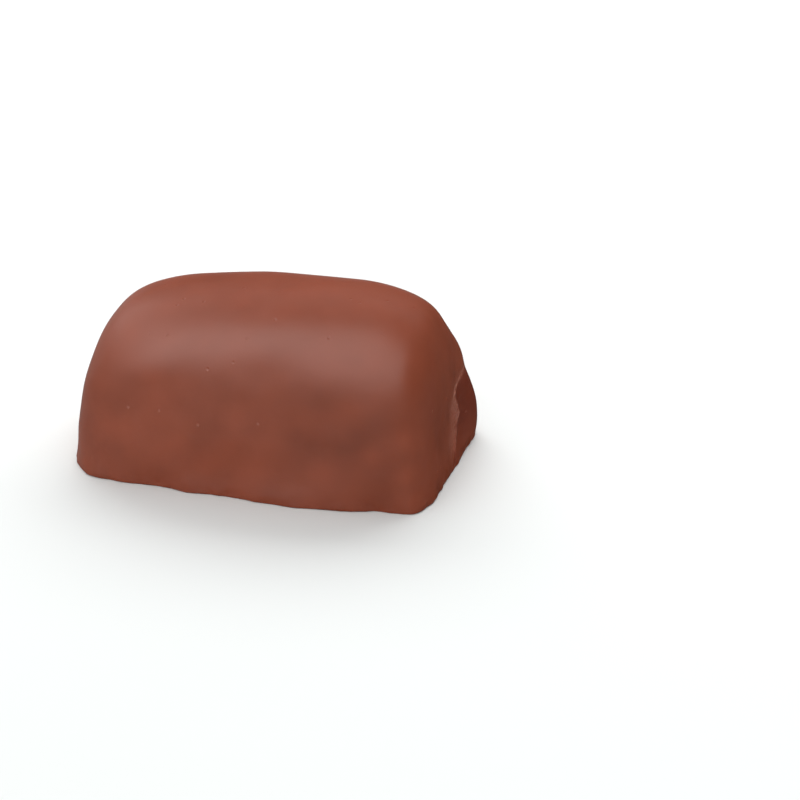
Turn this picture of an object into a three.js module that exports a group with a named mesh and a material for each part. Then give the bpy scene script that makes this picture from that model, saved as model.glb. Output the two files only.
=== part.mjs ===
// A whole, uncut chocolate bonbon: a small loaf of filling coated all over in milk chocolate.
// The coating shuts the filling in, so the piece is one solid with a flat base to stand on.
//
// Millimetres, +Z up. X runs along the loaf and Y across it; the long side at -Y is the front.
// The origin is at the middle of the base.
import * as THREE from "three";
import { mergeVertices } from "three/addons/utils/BufferGeometryUtils.js";

// ---- Driving sizes ----------------------------------------------------------------------
const LENGTH = 36.75;
const WIDTH = 21.6;
const HEIGHT = 18.55; // at the middle of the loaf
const RISE = 0.075; // share by which the loaf stands taller at its right end, lower at its left

// Each wall leans in as it rises, by a superellipse: at a level from 0, the base, to 1, the
// top, it keeps (1 - level^rise)^(1/round) of its reach.
const LEFT_END = { round: 3.85, rise: 4.07 };
const RIGHT_END = { round: 4.03, rise: 5.08 };
const LONG_SIDE = { round: 2.42, rise: 3.07 };

// Powers of the superellipse seen from above: boxy at the base, rounder towards the top.
const BASE_CORNERS = 6.1;
const TOP_CORNERS = 2.4;

const SHOULDER = 0.62; // level where the walls pass into the roof

// The foot of the coating: it spreads where it met the belt and tucks under with a small
// radius. Its edge swells where the coating gathered, and draws in where a depth is negative.
const FOOT = {
  spread: 0.36,
  height: 2.0,
  tuck: 0.3,
  ripples: { count: 23, turn: 2.6, depth: 0.04 },
  swells: [
    { at: [-15.1, -10.2], width: 1.5, depth: 0.3 },
    { at: [-9.0, -10.8], width: 1.9, depth: -0.35 },
    { at: [-4.9, -10.8], width: 1.3, depth: 0.35 },
    { at: [4.6, -10.8], width: 4.2, depth: 0.55 },
    { at: [13.9, -10.5], width: 1.8, depth: -0.8 },
    { at: [16.8, -9.3], width: 1.3, depth: 0.35 },
    { at: [18.4, 2.5], width: 3.6, depth: 0.35 },
    { at: [7.0, 10.8], width: 2.4, depth: -0.3 },
    { at: [-5.5, 10.8], width: 3.2, depth: 0.35 },
    { at: [-18.4, 4.0], width: 2.6, depth: 0.3 },
  ],
};

// A lump of coating at the back corner of the right end. Its bearing and width are angles
// from the middle of the loaf, and it fades above and below its middle.
const LUMP = { bearing: 0.5, width: 0.2, middle: 3.2, fade: 5.0, depth: 2.2 };

// Soft swells of the walls and the roof, and dents where a depth is negative.
const SWELLS = [
  { at: [-17.4, -4.5, 10.3], width: 3.6, depth: -0.12 },
  { at: [-18.5, -6.5, 3.4], width: 2.0, depth: 0.22 },
  { at: [-7.0, 4.5, 17.2], width: 2.0, depth: -0.06 },
  { at: [-1.0, 4.5, 17.8], width: 2.2, depth: 0.06 },
  { at: [7.0, 4.4, 18.2], width: 3.0, depth: -0.12 },
  { at: [16.6, 4.8, 14.2], width: 1.8, depth: -0.12 },
  { at: [17.9, 7.0, 10.4], width: 2.2, depth: 0.4 },
  { at: [-11.5, -10.0, 8.0], width: 2.2, depth: -0.12 },
  { at: [-4.3, -10.7, 5.5], width: 2.6, depth: 0.1 },
  { at: [8.2, -10.1, 9.6], width: 2.4, depth: -0.14 },
  { at: [11.5, -10.4, 7.0], width: 2.4, depth: -0.12 },
  { at: [3.0, -2.5, 18.3], width: 3.0, depth: 0.1 },
];

// Long shallow waves, left from when the coating ran and set: the way each one runs, its
// wavelength, where along it the first crest lies, as an angle, and its depth.
const WAVES = [
  { way: [0.62, 0.3, 0.73], length: 9.3, turn: 0.4, depth: 0.035 },
  { way: [-0.35, 0.59, 0.73], length: 7.4, turn: 2.1, depth: 0.03 },
  { way: [0.82, -0.38, -0.43], length: 6.9, turn: 4.0, depth: 0.025 },
];

const COLUMNS = 48; // faces along the loaf
const ROWS = 28; // faces across it
const COURSES = 16; // faces up each wall
const CROWDING = 1.4; // how much closer together the courses are near the base
const ROOF_TURN = 1.41; // radians that the roof's rings turn through, so they crowd at the wall

// ---- The loaf ---------------------------------------------------------------------------
// How far a wall stands from the middle of the loaf at a level.
function reach(half, wall, level) {
  return half * (1 - level ** wall.rise) ** (1 / wall.round);
}

// The radius of the plain loaf at a level, in the direction of an angle seen from above.
function loafRadius(angle, level) {
  const end = Math.cos(angle) < 0 ? LEFT_END : RIGHT_END;
  const along = Math.abs(Math.cos(angle)) / reach(LENGTH / 2, end, level);
  const across = Math.abs(Math.sin(angle)) / reach(WIDTH / 2, LONG_SIDE, level);
  const power = THREE.MathUtils.lerp(BASE_CORNERS, TOP_CORNERS, level);
  return (along ** power + across ** power) ** (-1 / power);
}

// The roof's level above a point of the plan, found by halving the span that holds it.
function roofLevel(angle, radius) {
  let low = SHOULDER;
  let high = 1;
  for (let step = 0; step < 30; step++) {
    const middle = (low + high) / 2;
    if (loafRadius(angle, middle) > radius) low = middle;
    else high = middle;
  }
  return low;
}

// A soft bump: its depth at no distance from its middle, fading over its width.
function bump(distance, width, depth) {
  return depth * Math.exp(-((distance / width) ** 2));
}

// What the foot and the lump add to the radius at a height.
function standsOut(angle, height) {
  const ripple = Math.sin(FOOT.ripples.count * angle + FOOT.ripples.turn);
  const edge = new THREE.Vector2(loafRadius(angle, 0), 0).rotateAround(new THREE.Vector2(), angle);
  let spread = FOOT.spread + FOOT.ripples.depth * ripple;
  for (const swell of FOOT.swells) {
    spread += bump(edge.distanceTo(new THREE.Vector2(...swell.at)), swell.width, swell.depth);
  }
  const foot = bump(height, FOOT.height, spread);
  const lumpHere = bump(height - LUMP.middle, LUMP.fade, LUMP.depth);
  const lump = bump(angle - LUMP.bearing, LUMP.width, lumpHere);
  const tucked = Math.max(0, 1 - height / FOOT.tuck);
  return foot + lump - FOOT.tuck * (1 - Math.sqrt(1 - tucked ** 2));
}

// A point of a plain box, moved to its place on the smooth coating.
function onCoating(box) {
  const angle = Math.atan2(box.y, box.x);
  const ring = Math.max(Math.abs(box.x) / (LENGTH / 2), Math.abs(box.y) / (WIDTH / 2));
  const course = THREE.MathUtils.clamp(box.z / HEIGHT, 0, 1);
  const onWall = ring > 1 - 1e-6;
  let level = 0;
  let radius = 0;
  if (onWall) {
    level = SHOULDER * course ** CROWDING;
    radius = loafRadius(angle, level) + standsOut(angle, level * HEIGHT);
  } else if (course > 0.5) {
    radius = (Math.sin(ring * ROOF_TURN) / Math.sin(ROOF_TURN)) * loafRadius(angle, SHOULDER);
    level = roofLevel(angle, radius);
    radius += standsOut(angle, level * HEIGHT);
  } else {
    radius = ring * (loafRadius(angle, 0) + standsOut(angle, 0));
  }
  const x = radius * Math.cos(angle);
  const y = radius * Math.sin(angle);
  return new THREE.Vector3(x, y, level * HEIGHT * (1 + (RISE * x) / (LENGTH / 2)));
}

// How far the swells and waves lift the coating at a point.
function liftAt(point) {
  let lift = 0;
  for (const swell of SWELLS) {
    lift += bump(point.distanceTo(new THREE.Vector3(...swell.at)), swell.width, swell.depth);
  }
  for (const wave of WAVES) {
    const distance = point.dot(new THREE.Vector3(...wave.way));
    lift += wave.depth * Math.sin((2 * Math.PI * distance) / wave.length + wave.turn);
  }
  return lift;
}

function coatingGeometry() {
  const box = new THREE.BoxGeometry(LENGTH, WIDTH, HEIGHT, COLUMNS, ROWS, COURSES);
  box.translate(0, 0, HEIGHT / 2);
  box.deleteAttribute("normal");
  box.deleteAttribute("uv");
  const coating = mergeVertices(box, 1e-4);
  const places = coating.getAttribute("position");
  const point = new THREE.Vector3();
  for (let i = 0; i < places.count; i++) {
    point.copy(onCoating(point.fromBufferAttribute(places, i)));
    places.setXYZ(i, ...point);
  }
  coating.computeVertexNormals();
  const normals = coating.getAttribute("normal");
  const outward = new THREE.Vector3();
  for (let i = 0; i < places.count; i++) {
    point.fromBufferAttribute(places, i);
    if (point.z === 0) continue; // the base stays flat
    outward.fromBufferAttribute(normals, i);
    point.addScaledVector(outward, liftAt(point) * Math.min(1, point.z / FOOT.height));
    places.setXYZ(i, ...point);
  }
  coating.computeBoundingBox();
  const middle = coating.boundingBox.getCenter(new THREE.Vector3());
  coating.translate(-middle.x, -middle.y, 0);
  coating.computeVertexNormals();
  return coating;
}

// ---- The part ---------------------------------------------------------------------------
const milkChocolate = new THREE.MeshStandardMaterial({
  color: 0x7b4535,
  roughness: 0.38,
  metalness: 0,
});

const coatedBonbon = new THREE.Mesh(coatingGeometry(), milkChocolate);
coatedBonbon.name = "coated_bonbon";

const bonbon = new THREE.Group();
bonbon.add(coatedBonbon);

export default bonbon;
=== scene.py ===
"""The looks of a whole milk chocolate bonbon, seen as in the photograph, in soft studio light."""
import math
import random

import bmesh
import bpy
from mathutils import Matrix, Vector, noise


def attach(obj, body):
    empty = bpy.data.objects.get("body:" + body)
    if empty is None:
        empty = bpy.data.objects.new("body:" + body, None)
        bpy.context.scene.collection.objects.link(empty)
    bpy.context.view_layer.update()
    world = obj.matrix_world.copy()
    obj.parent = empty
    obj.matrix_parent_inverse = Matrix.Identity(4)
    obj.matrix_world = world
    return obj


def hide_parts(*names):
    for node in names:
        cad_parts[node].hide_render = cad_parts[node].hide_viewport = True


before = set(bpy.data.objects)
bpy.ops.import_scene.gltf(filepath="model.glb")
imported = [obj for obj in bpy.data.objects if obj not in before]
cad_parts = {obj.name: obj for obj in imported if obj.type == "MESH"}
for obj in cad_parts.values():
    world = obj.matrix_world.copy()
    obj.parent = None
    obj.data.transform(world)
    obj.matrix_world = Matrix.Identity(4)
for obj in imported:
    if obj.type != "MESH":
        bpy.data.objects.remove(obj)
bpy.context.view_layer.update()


# ---- The camera ---------------------------------------------------------------------------
# A long lens held a foot away, a little right of the long side and looking down on it. It is
# turned until the bonbon's middle comes left of the middle of the frame, with no lens shift.
CAMERA_AZIMUTH = math.radians(15.63)
CAMERA_ELEVATION = math.radians(25.73)
CAMERA_DISTANCE = 0.300
CAMERA_LENS = 133.65  # mm, on a sensor 36 mm wide
SENSOR_WIDTH = 36.0
FRAME_SIDE = 800  # pixels
AIM_POINT = Vector((-0.00026, 0.00012, 0.008))
AIM_PIXEL = (271.2, 378.8)  # where the aim point shows, from the frame's top left

camera = bpy.data.objects.new("camera", bpy.data.cameras.new("camera"))
camera.data.sensor_width = SENSOR_WIDTH
camera.data.lens = CAMERA_LENS
camera.data.clip_start = 0.01
bpy.context.collection.objects.link(camera)
bpy.context.scene.camera = camera

focal_pixels = CAMERA_LENS / SENSOR_WIDTH * FRAME_SIDE
ray = Vector((AIM_PIXEL[0] - FRAME_SIDE / 2, FRAME_SIDE / 2 - AIM_PIXEL[1], -focal_pixels))
turn_aside = ray.rotation_difference(Vector((0, 0, -1))).to_matrix().to_4x4()
tilt_down = Matrix.Rotation(math.pi / 2 - CAMERA_ELEVATION, 4, "X")
facing = Matrix.Rotation(CAMERA_AZIMUTH, 4, "Z") @ tilt_down
back_off = Matrix.Translation((0, 0, CAMERA_DISTANCE))
camera.matrix_world = Matrix.Translation(AIM_POINT) @ facing @ back_off @ turn_aside


# ---- The chocolate coating ----------------------------------------------------------------
# Tempered milk chocolate that ran over a loaf of filling in one coat and set on a belt: soft
# walls and top with faint waves and pinholes, an uneven foot, and a lump with a crease at the
# back of the right end, where it gathered. It is modelled in millimetres, then made metres.
LENGTH = 36.75
WIDTH = 21.6
HEIGHT = 18.55  # at the middle of the loaf
RISE = 0.075  # share by which the loaf stands taller at its right end, lower at its left

# Each wall leans in as it rises, by a superellipse: at a level from 0, the base, to 1, the
# top, it keeps (1 - level^rise)^(1/round) of its reach.
LEFT_END = {"round": 3.85, "rise": 4.07}
RIGHT_END = {"round": 4.03, "rise": 5.08}
LONG_SIDE = {"round": 2.42, "rise": 3.07}
BASE_CORNERS = 6.1  # powers of the superellipse seen from above
TOP_CORNERS = 2.4
SHOULDER = 0.62  # level where the walls pass into the roof

FOOT_SPREAD = 0.36  # how far the foot stands out past the wall
FOOT_HEIGHT = 2.0  # height over which it does
FOOT_TUCK = 0.2  # radius with which it tucks under
FOOT_RIPPLES = {"count": 23, "turn": 2.6, "depth": 0.04}
FOOT_SWELLS = [  # place around the foot, width, depth
    ((-15.1, -10.2), 1.5, 0.3),
    ((-13.6, -10.7), 0.9, -0.12),
    ((-8.7, -10.8), 1.9, -0.38),
    ((-5.4, -10.8), 1.2, 0.38),
    ((-1.3, -10.8), 0.6, -0.1),
    ((4.6, -10.8), 4.2, 0.55),
    ((11.6, -10.8), 0.9, -0.1),
    ((13.9, -10.5), 1.8, -0.8),
    ((16.8, -9.3), 1.3, 0.35),
    ((18.4, 2.5), 3.6, 0.35),
    ((7.0, 10.8), 2.4, -0.3),
    ((-5.5, 10.8), 3.2, 0.35),
    ((-18.4, 4.0), 2.6, 0.3),
    ((-18.3, -8.6), 1.5, -0.28),
]

# The lump's bearing and width are angles from the middle of the loaf. It fades above and below
# its middle.
LUMP = {"bearing": 0.5, "width": 0.2, "middle": 3.2, "fade": 5.0, "depth": 2.2}

SWELLS = [  # place on the coating, width, depth
    ((-17.4, -4.5, 10.3), 3.6, -0.12),
    ((-18.5, -6.5, 3.4), 2.0, 0.22),
    ((-7.0, 4.5, 17.2), 2.0, -0.06),
    ((-1.0, 4.5, 17.8), 2.2, 0.06),
    ((7.0, 4.4, 18.2), 3.0, -0.12),
    ((16.6, 4.8, 14.2), 1.8, -0.12),
    ((17.9, 7.0, 10.4), 2.2, 0.4),
    ((-11.5, -10.0, 8.0), 2.2, -0.12),
    ((-4.3, -10.7, 5.5), 2.6, 0.1),
    ((7.4, -10.6, 6.0), 2.6, -0.18),
    ((12.4, -10.4, 6.2), 2.6, -0.18),
    ((8.3, -10.1, 9.4), 1.6, -0.15),
    ((-0.5, -10.5, 6.9), 1.5, 0.14),
    ((-11.3, -10.5, 4.7), 1.5, 0.10),
    ((1.0, -9.9, 11.0), 1.9, 0.06),
    ((3.0, -2.5, 18.3), 3.0, 0.1),
]
WAVES = [  # the way each wave runs, its length, its turn and its depth
    ((0.62, 0.3, 0.73), 9.3, 0.4, 0.035),
    ((-0.35, 0.59, 0.73), 7.4, 2.1, 0.03),
    ((0.82, -0.38, -0.43), 6.9, 4.0, 0.025),
]

COLUMNS, ROWS, COURSES = 196, 114, 60  # faces along, across and up the wall
CROWDING = 1.4  # how much closer together the courses are near the base
ROOF_TURN = 1.41  # radians that the roof's rings turn through, so they crowd at the wall


def within_one(value):
    """A value held between 0 and 1."""
    return min(1.0, max(0.0, value))


def reach(half, wall, level):
    """How far a wall stands from the middle of the loaf at a level."""
    return half * (1 - level ** wall["rise"]) ** (1 / wall["round"])


def loaf_radius(angle, level):
    """The radius of the plain loaf at a level, in the direction of an angle seen from above."""
    end = LEFT_END if math.cos(angle) < 0 else RIGHT_END
    along = abs(math.cos(angle)) / reach(LENGTH / 2, end, level)
    across = abs(math.sin(angle)) / reach(WIDTH / 2, LONG_SIDE, level)
    power = BASE_CORNERS + (TOP_CORNERS - BASE_CORNERS) * level
    return (along**power + across**power) ** (-1 / power)


def roof_level(angle, radius):
    """The roof's level above a point of the plan, found by halving the span that holds it."""
    low, high = SHOULDER, 1.0
    for _ in range(24):
        middle = (low + high) / 2
        if loaf_radius(angle, middle) > radius:
            low = middle
        else:
            high = middle
    return low


def bump(distance, width, depth):
    """A soft bump: its depth at no distance from its middle, fading over its width."""
    return depth * math.exp(-((distance / width) ** 2))


def stands_out(angle, height):
    """What the foot and the lump add to the radius at a height."""
    radius = loaf_radius(angle, 0)
    edge = Vector((radius * math.cos(angle), radius * math.sin(angle)))
    ripple = math.sin(FOOT_RIPPLES["count"] * angle + FOOT_RIPPLES["turn"])
    spread = FOOT_SPREAD + FOOT_RIPPLES["depth"] * ripple
    for place, width, depth in FOOT_SWELLS:
        spread += bump((edge - Vector(place)).length, width, depth)
    foot = bump(height, FOOT_HEIGHT, spread)
    lump_here = bump(height - LUMP["middle"], LUMP["fade"], LUMP["depth"])
    lump = bump(angle - LUMP["bearing"], LUMP["width"], lump_here)
    tucked = max(0.0, 1 - height / FOOT_TUCK)
    return foot + lump - FOOT_TUCK * (1 - math.sqrt(1 - tucked**2))


def on_coating(box):
    """A point of a plain box, moved to its place on the smooth coating."""
    angle = math.atan2(box.y, box.x)
    ring = max(abs(box.x) / (LENGTH / 2), abs(box.y) / (WIDTH / 2))
    course = within_one(box.z / HEIGHT)
    level = 0.0
    if ring > 1 - 1e-6:
        level = SHOULDER * course**CROWDING
        radius = loaf_radius(angle, level) + stands_out(angle, level * HEIGHT)
    elif course > 0.5:
        radius = math.sin(ring * ROOF_TURN) / math.sin(ROOF_TURN) * loaf_radius(angle, SHOULDER)
        level = roof_level(angle, radius)
        radius += stands_out(angle, level * HEIGHT)
    else:
        radius = ring * (loaf_radius(angle, 0) + stands_out(angle, 0))
    x, y = radius * math.cos(angle), radius * math.sin(angle)
    return Vector((x, y, level * HEIGHT * (1 + RISE * x / (LENGTH / 2))))


coating = bmesh.new()
bmesh.ops.create_cube(coating, size=1)
bmesh.ops.translate(coating, vec=(0, 0, 0.5), verts=coating.verts)
bmesh.ops.scale(coating, vec=(LENGTH, WIDTH, HEIGHT), verts=coating.verts)
for axis, faces in enumerate((COLUMNS, ROWS, COURSES)):
    along = [e for e in coating.edges if abs((e.verts[1].co - e.verts[0].co)[axis]) > 0.01]
    bmesh.ops.subdivide_edges(coating, edges=along, cuts=faces - 1, use_grid_fill=True)
for vert in coating.verts:
    vert.co = on_coating(vert.co)

# A soft crest where the roof and the long side turn into the right end, from the back down.
CREST = [Vector(p) for p in (
    (16.1, -0.3, 16.6), (15.7, -4.6, 15.8), (15.4, -6.8, 14.0),
    (15.9, -7.9, 11.4), (16.4, -8.8, 7.5), (16.8, -9.1, 3.4),
)]
CREST_WIDTH = 1.3
CREST_HEIGHT = 0.10
CREST_FOOT = 3.0  # height over which the crest grows from the base
CREST_REACH = 12.0  # how far along the loaf it can first be felt

# The crease where the lump begins: a low rough step that runs down the right end, given by
# points from its top down. Its near side is painted pale, partly a scuff and partly a painted
# sheen where the step's edge catches light.
CREASE = [Vector(p) for p in (
    (18.1, 7.4, 8.6), (18.3, 5.2, 8.6), (18.3, 3.5, 8.4), (18.4, 2.5, 7.8),
    (18.5, 2.5, 7.0), (18.5, 2.9, 6.2), (18.6, 3.4, 5.0), (18.6, 3.0, 4.1),
    (18.6, 2.8, 3.0), (18.6, 2.1, 2.3), (18.7, 1.3, 1.5),
)]
CREASE_STEP = 0.14  # how far the lump's side stands out
CREASE_EDGE = 0.13  # half the width over which it steps out
CREASE_TOP = 8.7  # height at which the step and the painted shade on the lump's side have faded away
CREASE_TOP_FADE = 2.0  # how far below that the step begins to fade
CREASE_FOOT = 1.2  # height over which the step grows from the base
CREASE_REACH = 15.0  # how far along the loaf it begins
CREASE_ROUND = 2.5  # how much further along it has its full height
CREASE_SINKS = 6.5  # how far past the crease the lump's side sinks back again
CREASE_LIP = {"width": 0.3, "height": 0.03}
CREASE_FINE = 1.8  # how far to each side the faces are made finer
CREASE_STRAYS = ((1.3, 0.25), (0.4, 0.12))  # size of its turns, and how far it strays in them

SCUFF_SHEEN_FADE = {"from": 1.0, "over": 2.0}  # heights over which the pale scuff and painted sheen grow from the base
SCUFF_SHEEN_PAST = 0.22  # its width past the crease
SCUFF_SHEEN_BEFORE_TOP = 0.35  # its width before the crease, at its top
SCUFF_SHEEN_BEFORE_LOW = 1.7  # and lower down
SCUFF_SHEEN_WIDENS = 8.4  # height under which it widens, within a millimetre
SCUFF_RELIEF = 0.05  # how rough it is
SCUFF_SHEEN_END = 4.0  # how far from the crease there can be any

# Pinholes that bubbles left. The first ones are where the photograph shows them.
PINHOLES = [
    (-11.9, -10.0, 8.0),
    (-8.6, -10.3, 8.2),
    (-4.5, -10.5, 7.3),
    (1.6, -10.4, 8.2),
    (-3.9, -9.1, 12.8),
    (-1.4, -8.8, 13.7),
    (-11.4, -11.0, 0.9),
    (-10.5, -6.8, 14.8),
    (-8.6, -7.1, 15.0),
    (-0.4, -7.3, 15.7),
    (-8.5, -4.1, 17.0),
    (8.7, -2.1, 18.8),
    (18.0, -5.5, 9.4),
]
MORE_PINHOLES = 26  # spread by chance over the rest
PINHOLE_WIDTH = 0.1
PINHOLE_DEPTH = 0.07
PINHOLE_REACH = 0.5  # how far from its middle a pinhole shapes the skin
PINHOLE_FINE = 0.36  # how far from it the faces are made finer
PINHOLE_RIM = {"radius": 0.2, "width": 0.07, "height": 0.008}
# A pale ring round each pinhole: partly a pale speck in the skin, partly a painted glint on its rim.
PINHOLE_PALE_GLINT = {"radius": 0.07, "width": 0.07, "share": 0.55}
FINER_CUTS = 2

chance = random.Random(7)
coating.verts.ensure_lookup_table()
holes = [Vector(place) for place in PINHOLES]
while len(holes) < len(PINHOLES) + MORE_PINHOLES:
    place = chance.choice(coating.verts).co.copy()
    off_front_wall = place.y > -6 or place.z > 16
    if place.z > 1 and off_front_wall:
        holes.append(place)


def beside(line, place):
    """Distance from a line of points, and how far past it, below or behind, a place lies."""
    nearest, past = 1e9, 0.0
    for start, end in zip(line, line[1:]):
        run = end - start
        gap = place - (start + run * within_one((place - start).dot(run) / run.length_squared))
        if gap.length < nearest:
            nearest = gap.length
            past = math.copysign(nearest, run.y * gap.z - run.z * gap.y)
    return nearest, past


def near_crease(place):
    return place.x > CREASE_REACH and beside(CREASE, place)[0] < CREASE_FINE


def near_pinhole(place):
    return any((place - hole).length_squared < PINHOLE_FINE**2 for hole in holes)


def make_finer(near):
    """Cuts the faces of the coating whose middle passes a test into smaller ones."""
    chosen = [face for face in coating.faces if near(face.calc_center_median())]
    edges = list(dict.fromkeys(edge for face in chosen for edge in face.edges))
    bmesh.ops.subdivide_edges(coating, edges=edges, cuts=FINER_CUTS, use_grid_fill=True)


make_finer(near_crease)
make_finer(near_pinhole)

GRAIN = [  # size and depth of the finest unevenness of the skin
    (3.6, 0.075),
    (1.7, 0.012),
    (0.8, 0.003),
]
CALM = {"from": 8, "over": 4, "share": 0.75}  # heights over which grain and clouds die down
# Patches of painted shade and painted light over the walls, roof and ends: shade in shallow hollows
# of the front wall and over the left of the roof, light on the right shoulder and at the right
# corner. They are partly the skin's own mottling.
SHADE_AND_MOTTLE_PATCHES = [  # place, width, tone: the skin set darker where a tone is negative, else paler
    ((7.6, -9.8, 11.2), 1.8, -0.5),
    ((13.8, -9.4, 9.4), 2.0, -0.6),
    ((12.0, -10.3, 7.4), 2.2, -0.75),
    ((9.2, -10.6, 6.9), 2.0, -0.7),
    ((6.0, -10.6, 6.5), 2.0, -0.55),
    ((-5.6, 1.1, 18.0), 1.8, -0.2),
    ((0.5, -1.4, 18.6), 3.0, -0.15),
    ((5.3, -3.6, 18.4), 1.6, -0.15),
    ((11.1, -3.7, 18.2), 1.8, -0.15),
    ((12.0, -5.6, 16.8), 5.2, 0.5),
    ((17.0, -5.0, 11.8), 3.0, -0.45),
    ((-6.5, -1.2, 18.0), 3.4, -0.25),
    ((-13.0, -3.5, 16.0), 3.0, -0.2),
    ((-16.5, -7.5, 8.0), 4.5, -0.3),
    ((-17.0, -9.0, 5.0), 2.6, -0.35),
    ((0.9, -10.8, 3.1), 2.4, 0.4),
    ((-13.8, -8.8, 10.3), 2.0, -0.35),
    ((-4.0, -10.6, 6.1), 1.4, -0.25),
    ((14.5, -10.3, 2.4), 1.8, -0.5),
    ((-12.9, -10.5, 3.5), 0.9, -0.3),
    ((-0.5, -10.3, 8.7), 1.5, 0.4),
    ((-11.3, -10.4, 6.2), 1.3, 0.3),
    ((-6.3, -10.7, 4.5), 1.8, 0.35),
    ((-3.5, -11.0, 2.0), 1.6, 0.4),
    ((7.3, -10.7, 3.8), 2.4, 0.35),
    ((13.1, -10.3, 5.9), 0.9, 0.5),
    ((18.5, 0.5, 4.5), 2.6, 0.35),
    ((16.0, -9.2, 7.6), 1.0, 0.5),
    ((16.1, -9.5, 3.9), 1.0, 0.5),
]
FOOT_RAGGED = {"size": 1.1, "depth": 0.16, "height": 0.9, "grows": 0.15}  # its ragged edge
CLOUDS = {"size": 2.8, "tone_and_painted_shade": 0.45}  # the faint clouds of the skin, by chance

scuff_and_sheen = coating.verts.layers.float.new("scuff_and_sheen")
tone_and_painted_shade = coating.verts.layers.float.new("tone_and_painted_shade")
lump_painted_shade = coating.verts.layers.float.new("lump_painted_shade")
coating.normal_update()
for vert in coating.verts:
    place = vert.co.copy()
    if place.z == 0:
        continue
    lift = sum(bump((place - Vector(at)).length, width, depth) for at, width, depth in SWELLS)
    for way, length, turn, depth in WAVES:
        lift += depth * math.sin(2 * math.pi * place.dot(Vector(way)) / length + turn)
    lift *= within_one(place.z / FOOT_HEIGHT)
    # The patches' painted shade and painted light go into the skin's tone.
    for at, width, tint in SHADE_AND_MOTTLE_PATCHES:
        vert[tone_and_painted_shade] += bump((place - Vector(at)).length, width, tint)
    calm = 1 - CALM["share"] * within_one((place.z - CALM["from"]) / CALM["over"])
    for size, depth in GRAIN:
        lift += calm * depth * noise.noise(place / size)
    vert[tone_and_painted_shade] += CLOUDS["tone_and_painted_shade"] * calm * noise.noise(place / CLOUDS["size"])
    rag = FOOT_RAGGED["depth"] * noise.noise(place / FOOT_RAGGED["size"])
    lift += bump(place.z, FOOT_RAGGED["height"], rag) * within_one(place.z / FOOT_RAGGED["grows"])

    for hole in holes:
        if (place - hole).length_squared < PINHOLE_REACH**2:
            apart = (place - hole).length
            rim, pale_glint = PINHOLE_RIM, PINHOLE_PALE_GLINT
            lift += bump(apart, PINHOLE_WIDTH, -PINHOLE_DEPTH)
            lift += bump(apart - rim["radius"], rim["width"], rim["height"])
            # A pale ring, partly a painted glint on the pinhole's rim.
            pale_and_painted_light = bump(apart - pale_glint["radius"], pale_glint["width"], pale_glint["share"] * calm)
            vert[scuff_and_sheen] = max(vert[scuff_and_sheen], pale_and_painted_light)

    if place.x > CREST_REACH:
        crest = bump(beside(CREST, place)[0], CREST_WIDTH, CREST_HEIGHT)
        lift += crest * within_one(place.z / CREST_FOOT)

    if place.x > CREASE_REACH:
        away, past = beside(CREASE, place)
        past += sum(strays * noise.noise(place / size) for size, strays in CREASE_STRAYS)
        low = within_one(place.z / CREASE_FOOT)
        high = within_one((CREASE_TOP - place.z) / CREASE_TOP_FADE)
        round_back = within_one((place.x - CREASE_REACH) / CREASE_ROUND)
        step = low * round_back * (0.5 + 0.5 * math.tanh(past / CREASE_EDGE))
        lift += high * step * bump(max(0.0, past), CREASE_SINKS, CREASE_STEP)
        lift += bump(past, CREASE_LIP["width"], CREASE_LIP["height"] * low * high)
        # The lump's side past the crease is painted darker, as painted shade, fading toward its top
        # and the base.
        vert[lump_painted_shade] = step * min(within_one(CREASE_TOP - place.z), 0.1 + place.z / 5)

        # The pale band along the crease: partly a scuff, partly a painted sheen on the step's edge.
        widened = within_one(SCUFF_SHEEN_WIDENS - place.z)
        before = SCUFF_SHEEN_BEFORE_TOP + (SCUFF_SHEEN_BEFORE_LOW - SCUFF_SHEEN_BEFORE_TOP) * widened
        ridge = bump(past, SCUFF_SHEEN_PAST if past > 0 else before, 1.0) if away < SCUFF_SHEEN_END else 0.0
        ridge *= within_one((place.z - SCUFF_SHEEN_FADE["from"]) / SCUFF_SHEEN_FADE["over"])
        rough = noise.noise(place / 0.5) + 0.6 * noise.noise(place / 0.17)
        worn_and_sheen = within_one(1.1 + noise.noise(place / 1.1)) * within_one(0.7 + 0.6 * rough)
        lift += SCUFF_RELIEF * ridge * rough
        vert[scuff_and_sheen] = max(vert[scuff_and_sheen], ridge * worn_and_sheen)

    vert.co += vert.normal * lift
    vert.co.z = max(vert.co.z, 0.01)  # above the base, which stays flat

xs = [vert.co.x for vert in coating.verts]
ys = [vert.co.y for vert in coating.verts]
middle = Vector(((min(xs) + max(xs)) / 2, (min(ys) + max(ys)) / 2, 0))
bmesh.ops.translate(coating, vec=-middle, verts=coating.verts)
bmesh.ops.scale(coating, vec=(0.001, 0.001, 0.001), verts=coating.verts)
for face in coating.faces:
    face.smooth = True

coating_mesh = bpy.data.meshes.new("chocolate_coating")
coating.to_mesh(coating_mesh)
coating.free()
chocolate_coating = bpy.data.objects.new("chocolate_coating", coating_mesh)
bpy.context.collection.objects.link(chocolate_coating)


def srgb(code):
    """An sRGB hex colour as linear red, green, blue and alpha."""
    parts = [int(code[i : i + 2], 16) / 255 for i in (1, 3, 5)]
    return [c / 12.92 if c <= 0.04045 else ((c + 0.055) / 1.055) ** 2.4 for c in parts] + [1.0]


def add(tree, kind, settings=None, **links):
    """Adds a node, sets its properties and inputs, and links other nodes' outputs into it."""
    node = tree.nodes.new(kind)
    for name, value in (settings or {}).items():
        if name in node.inputs:
            node.inputs[name].default_value = value
        else:
            setattr(node, name, value)
    for name, source in links.items():
        tree.links.new(source, node.inputs[name.replace("_", " ")])
    return node


def new_material(name):
    material = bpy.data.materials.new(name)
    material.use_nodes = True
    material.node_tree.nodes.clear()
    return material, material.node_tree


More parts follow.
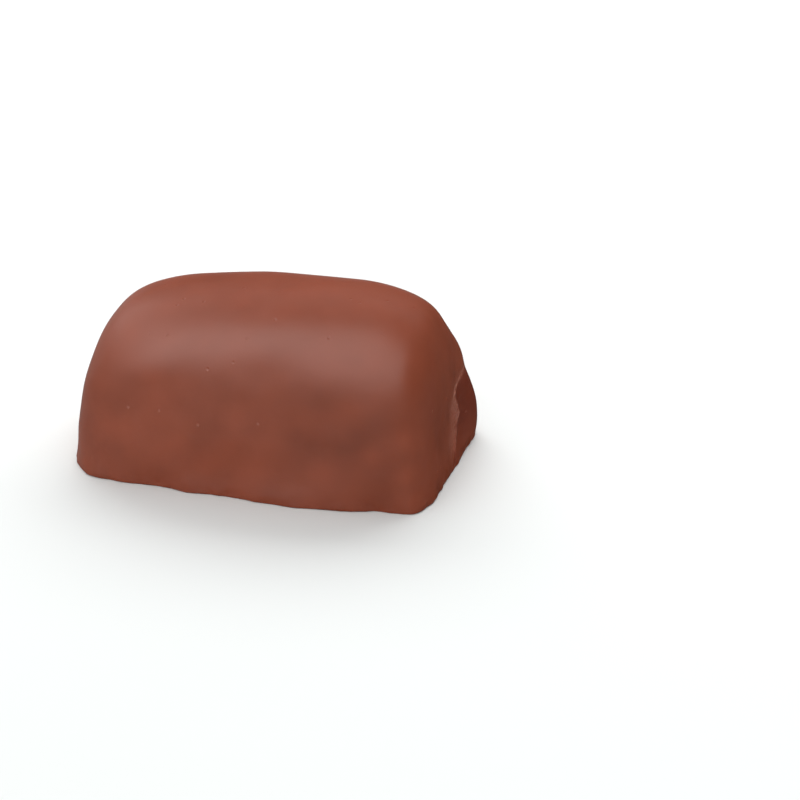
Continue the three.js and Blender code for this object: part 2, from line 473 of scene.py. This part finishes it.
# Tempered milk chocolate, run on liquid and set in cool air: a satin skin, since its fine cocoa
# and milk particles break up the gloss of the cocoa butter, with faint clouds of lighter fat.
DARK_CHOCOLATE = "#803d27"
PALE_CHOCOLATE = "#994a30"
# The colour of the painted shade on the lump's side:
LUMP_SHADE_CHOCOLATE = "#7c331d"
# The colour of the pale scuff and painted sheen along the crease and round the pinholes:
SCUFF_AND_SHEEN_CHOCOLATE = "#ac6a58"
TONE_SHARE = 0.65  # how far a tone of 1 shifts the colour from the dark one to the pale one
CLOUD_SIZE = 0.0034  # metres, as the next three
SHEEN_SIZE = 0.0018
GRAIN_SIZE = 0.00022
GRAIN_HEIGHT = 0.00002

satin_milk_chocolate, tree = new_material("satin_milk_chocolate")
spot = add(tree, "ShaderNodeTexCoord").outputs["Object"]
clouds = add(
    tree, "ShaderNodeTexNoise", {"Scale": 1 / CLOUD_SIZE, "Detail": 2.0, "Roughness": 0.5},
    Vector=spot,
)
cloudy = add(
    tree, "ShaderNodeMapRange", {"From Min": 0.35, "From Max": 0.65, "To Min": 0.55, "To Max": 0.75},
    Value=clouds.outputs["Fac"],
)
# The tone holds the skin's faint clouds and the painted shade and painted light of the patches.
tones_and_shade = add(tree, "ShaderNodeAttribute", {"attribute_name": "tone_and_painted_shade"})
pale_and_painted_light = add(tree, "ShaderNodeMath", {"operation": "MULTIPLY_ADD"})
tree.links.new(tones_and_shade.outputs["Fac"], pale_and_painted_light.inputs[0])
pale_and_painted_light.inputs[1].default_value = TONE_SHARE
tree.links.new(cloudy.outputs["Result"], pale_and_painted_light.inputs[2])
toned = add(tree, "ShaderNodeMix", {"data_type": "RGBA"}, Factor=pale_and_painted_light.outputs["Value"])
toned.inputs[6].default_value = srgb(DARK_CHOCOLATE)
toned.inputs[7].default_value = srgb(PALE_CHOCOLATE)

# The lump's side is painted darker: painted shade.
darker = add(tree, "ShaderNodeAttribute", {"attribute_name": "lump_painted_shade"})
lump_colour = add(tree, "ShaderNodeMix", {"data_type": "RGBA"}, Factor=darker.outputs["Fac"])
tree.links.new(toned.outputs[2], lump_colour.inputs[6])
lump_colour.inputs[7].default_value = srgb(LUMP_SHADE_CHOCOLATE)
# Along the crease the skin is painted pale, partly a scuff and partly a painted sheen, and so is a
# ring round each pinhole, partly a painted glint on its rim.
paler = add(tree, "ShaderNodeAttribute", {"attribute_name": "scuff_and_sheen"})
skin_colour = add(tree, "ShaderNodeMix", {"data_type": "RGBA"}, Factor=paler.outputs["Fac"])
tree.links.new(lump_colour.outputs[2], skin_colour.inputs[6])
skin_colour.inputs[7].default_value = srgb(SCUFF_AND_SHEEN_CHOCOLATE)

sheen = add(tree, "ShaderNodeTexNoise", {"Scale": 1 / SHEEN_SIZE, "Detail": 4.0}, Vector=spot)
roughness = add(
    tree, "ShaderNodeMapRange", {"From Min": 0.3, "From Max": 0.7, "To Min": 0.36, "To Max": 0.42},
    Value=sheen.outputs["Fac"],
)
grain = add(tree, "ShaderNodeTexNoise", {"Scale": 1 / GRAIN_SIZE, "Detail": 2.0}, Vector=spot)
skin_bump = add(
    tree, "ShaderNodeBump", {"Strength": 0.25, "Distance": GRAIN_HEIGHT},
    Height=grain.outputs["Fac"],
)
chocolate = add(
    tree, "ShaderNodeBsdfPrincipled",
    {
        "IOR": 1.46, "Subsurface Weight": 0.12, "Subsurface Scale": 0.0006,
        "Subsurface Radius": (1.0, 0.45, 0.25),
    },
    Base_Color=skin_colour.outputs[2], Roughness=roughness.outputs["Result"],
    Normal=skin_bump.outputs["Normal"],
)
add(tree, "ShaderNodeOutputMaterial", Surface=chocolate.outputs["BSDF"])
coating_mesh.materials.append(satin_milk_chocolate)

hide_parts("coated_bonbon")
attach(chocolate_coating, "root")


# ---- The white surface it stands on -------------------------------------------------------
# A sheet of matte white card, far larger than the bonbon. In the gloss of the chocolate it is
# grey, and nearly black at the right, since the photograph's rims show hardly any of it.
CARD_SIDE = 3.0
CARD_COLOUR = "#f0f3f2"
CARD_IN_GLOSS = {"From Min": 0.006, "From Max": 0.018, "To Min": 0.25, "To Max": 0.014}

surface = bmesh.new()
bmesh.ops.create_grid(surface, x_segments=1, y_segments=1, size=CARD_SIDE / 2)
surface_mesh = bpy.data.meshes.new("white_card")
surface.to_mesh(surface_mesh)
surface.free()
white_card = bpy.data.objects.new("white_card", surface_mesh)
bpy.context.collection.objects.link(white_card)
matte_card, tree = new_material("matte_white_card")
seen_in_gloss = add(tree, "ShaderNodeLightPath").outputs["Is Glossy Ray"]
whiteness = add(tree, "ShaderNodeMix", {"data_type": "RGBA"}, Factor=seen_in_gloss)
whiteness.inputs[6].default_value = srgb(CARD_COLOUR)
on_card = add(tree, "ShaderNodeTexCoord").outputs["Object"]
along_card = add(tree, "ShaderNodeSeparateXYZ", Vector=on_card)
shade = add(tree, "ShaderNodeMapRange", CARD_IN_GLOSS, Value=along_card.outputs["X"])
tree.links.new(shade.outputs["Result"], whiteness.inputs[7])
card = add(tree, "ShaderNodeBsdfDiffuse", Color=whiteness.outputs[2])
add(tree, "ShaderNodeOutputMaterial", Surface=card.outputs["BSDF"])
surface_mesh.materials.append(matte_card)


# ---- The studio light ---------------------------------------------------------------------
# A white tent with soft boxes of light. The one behind lights the chocolate and the card, and
# those over the camera and at the left show only in the gloss, so that the band along the front
# shoulder has its true shape and the rims stay as dark as in the photograph.
SOFTBOX_AWAY = 0.5  # metres


def softbox(name, azimuth, elevation, width, height, watts, in_gloss):
    """A soft light aimed at the bonbon, that shows either in its gloss or by its colour."""
    light = bpy.data.objects.new(name, bpy.data.lights.new(name, "AREA"))
    light.data.shape = "RECTANGLE"
    light.data.size, light.data.size_y = width, height
    light.data.energy = watts
    turn = Matrix.Rotation(math.radians(azimuth), 4, "Z")
    tilt = Matrix.Rotation(math.radians(90 - elevation), 4, "X")
    light.matrix_world = turn @ tilt @ Matrix.Translation((0, 0, SOFTBOX_AWAY))
    light.visible_camera = False
    light.visible_glossy = in_gloss
    light.visible_diffuse = not in_gloss
    bpy.context.collection.objects.link(light)


softbox("back_softbox", -174, 45, 0.80, 0.28, 1.78, False)
softbox("front_gloss", -6, 53, 0.80, 0.45, 2.37, True)
softbox("left_gloss", -83, 41, 0.80, 0.34, 1.25, True)
softbox("low_left_gloss", -118, 14, 0.45, 0.22, 0.16, True)

# The tent: palest before and behind, dim at the left and dark at the right. In the gloss only
# its upper part shows, faintly.
TENT_GREYS = ((0.1, 0.20), (0.42, 0.7), (0.54, 0.7), (0.84, 0.05))  # from the left to the right
TENT_COLOUR = "#fafafa"
TENT_STRENGTH = 2.09
TENT_IN_GLOSS = {"From Min": 0.1, "From Max": 0.55, "To Min": 0.0, "To Max": 0.24}

world = bpy.data.worlds.new("white_tent")
bpy.context.scene.world = world
world.use_nodes = True
tree = world.node_tree
direction = add(tree, "ShaderNodeTexCoord").outputs["Generated"]
ways = add(tree, "ShaderNodeSeparateXYZ", Vector=direction)
across = add(tree, "ShaderNodeMapRange", {"From Min": -1.0}, Value=ways.outputs["X"])
lit = add(tree, "ShaderNodeValToRGB", Fac=across.outputs["Result"])
stops = lit.color_ramp.elements
stops[0].position = TENT_GREYS[0][0]
stops[1].position = TENT_GREYS[-1][0]
for at, _ in TENT_GREYS[1:-1]:
    stops.new(at)
for stop, (_, grey) in zip(stops, TENT_GREYS):
    stop.color = (grey, grey, grey, 1.0)
lit_strength = add(tree, "ShaderNodeMath", {"operation": "MULTIPLY"})
tree.links.new(lit.outputs["Color"], lit_strength.inputs[0])
lit_strength.inputs[1].default_value = TENT_STRENGTH
shown = add(tree, "ShaderNodeMapRange", TENT_IN_GLOSS, Value=ways.outputs["Z"])
gloss_ray = add(tree, "ShaderNodeLightPath").outputs["Is Glossy Ray"]
strength = add(
    tree, "ShaderNodeMix",
    Factor=gloss_ray, A=lit_strength.outputs["Value"], B=shown.outputs["Result"],
)
tree.links.new(strength.outputs["Result"], tree.nodes["Background"].inputs["Strength"])
tree.nodes["Background"].inputs["Color"].default_value = srgb(TENT_COLOUR)
bpy.context.scene.view_settings.view_transform = "Standard"
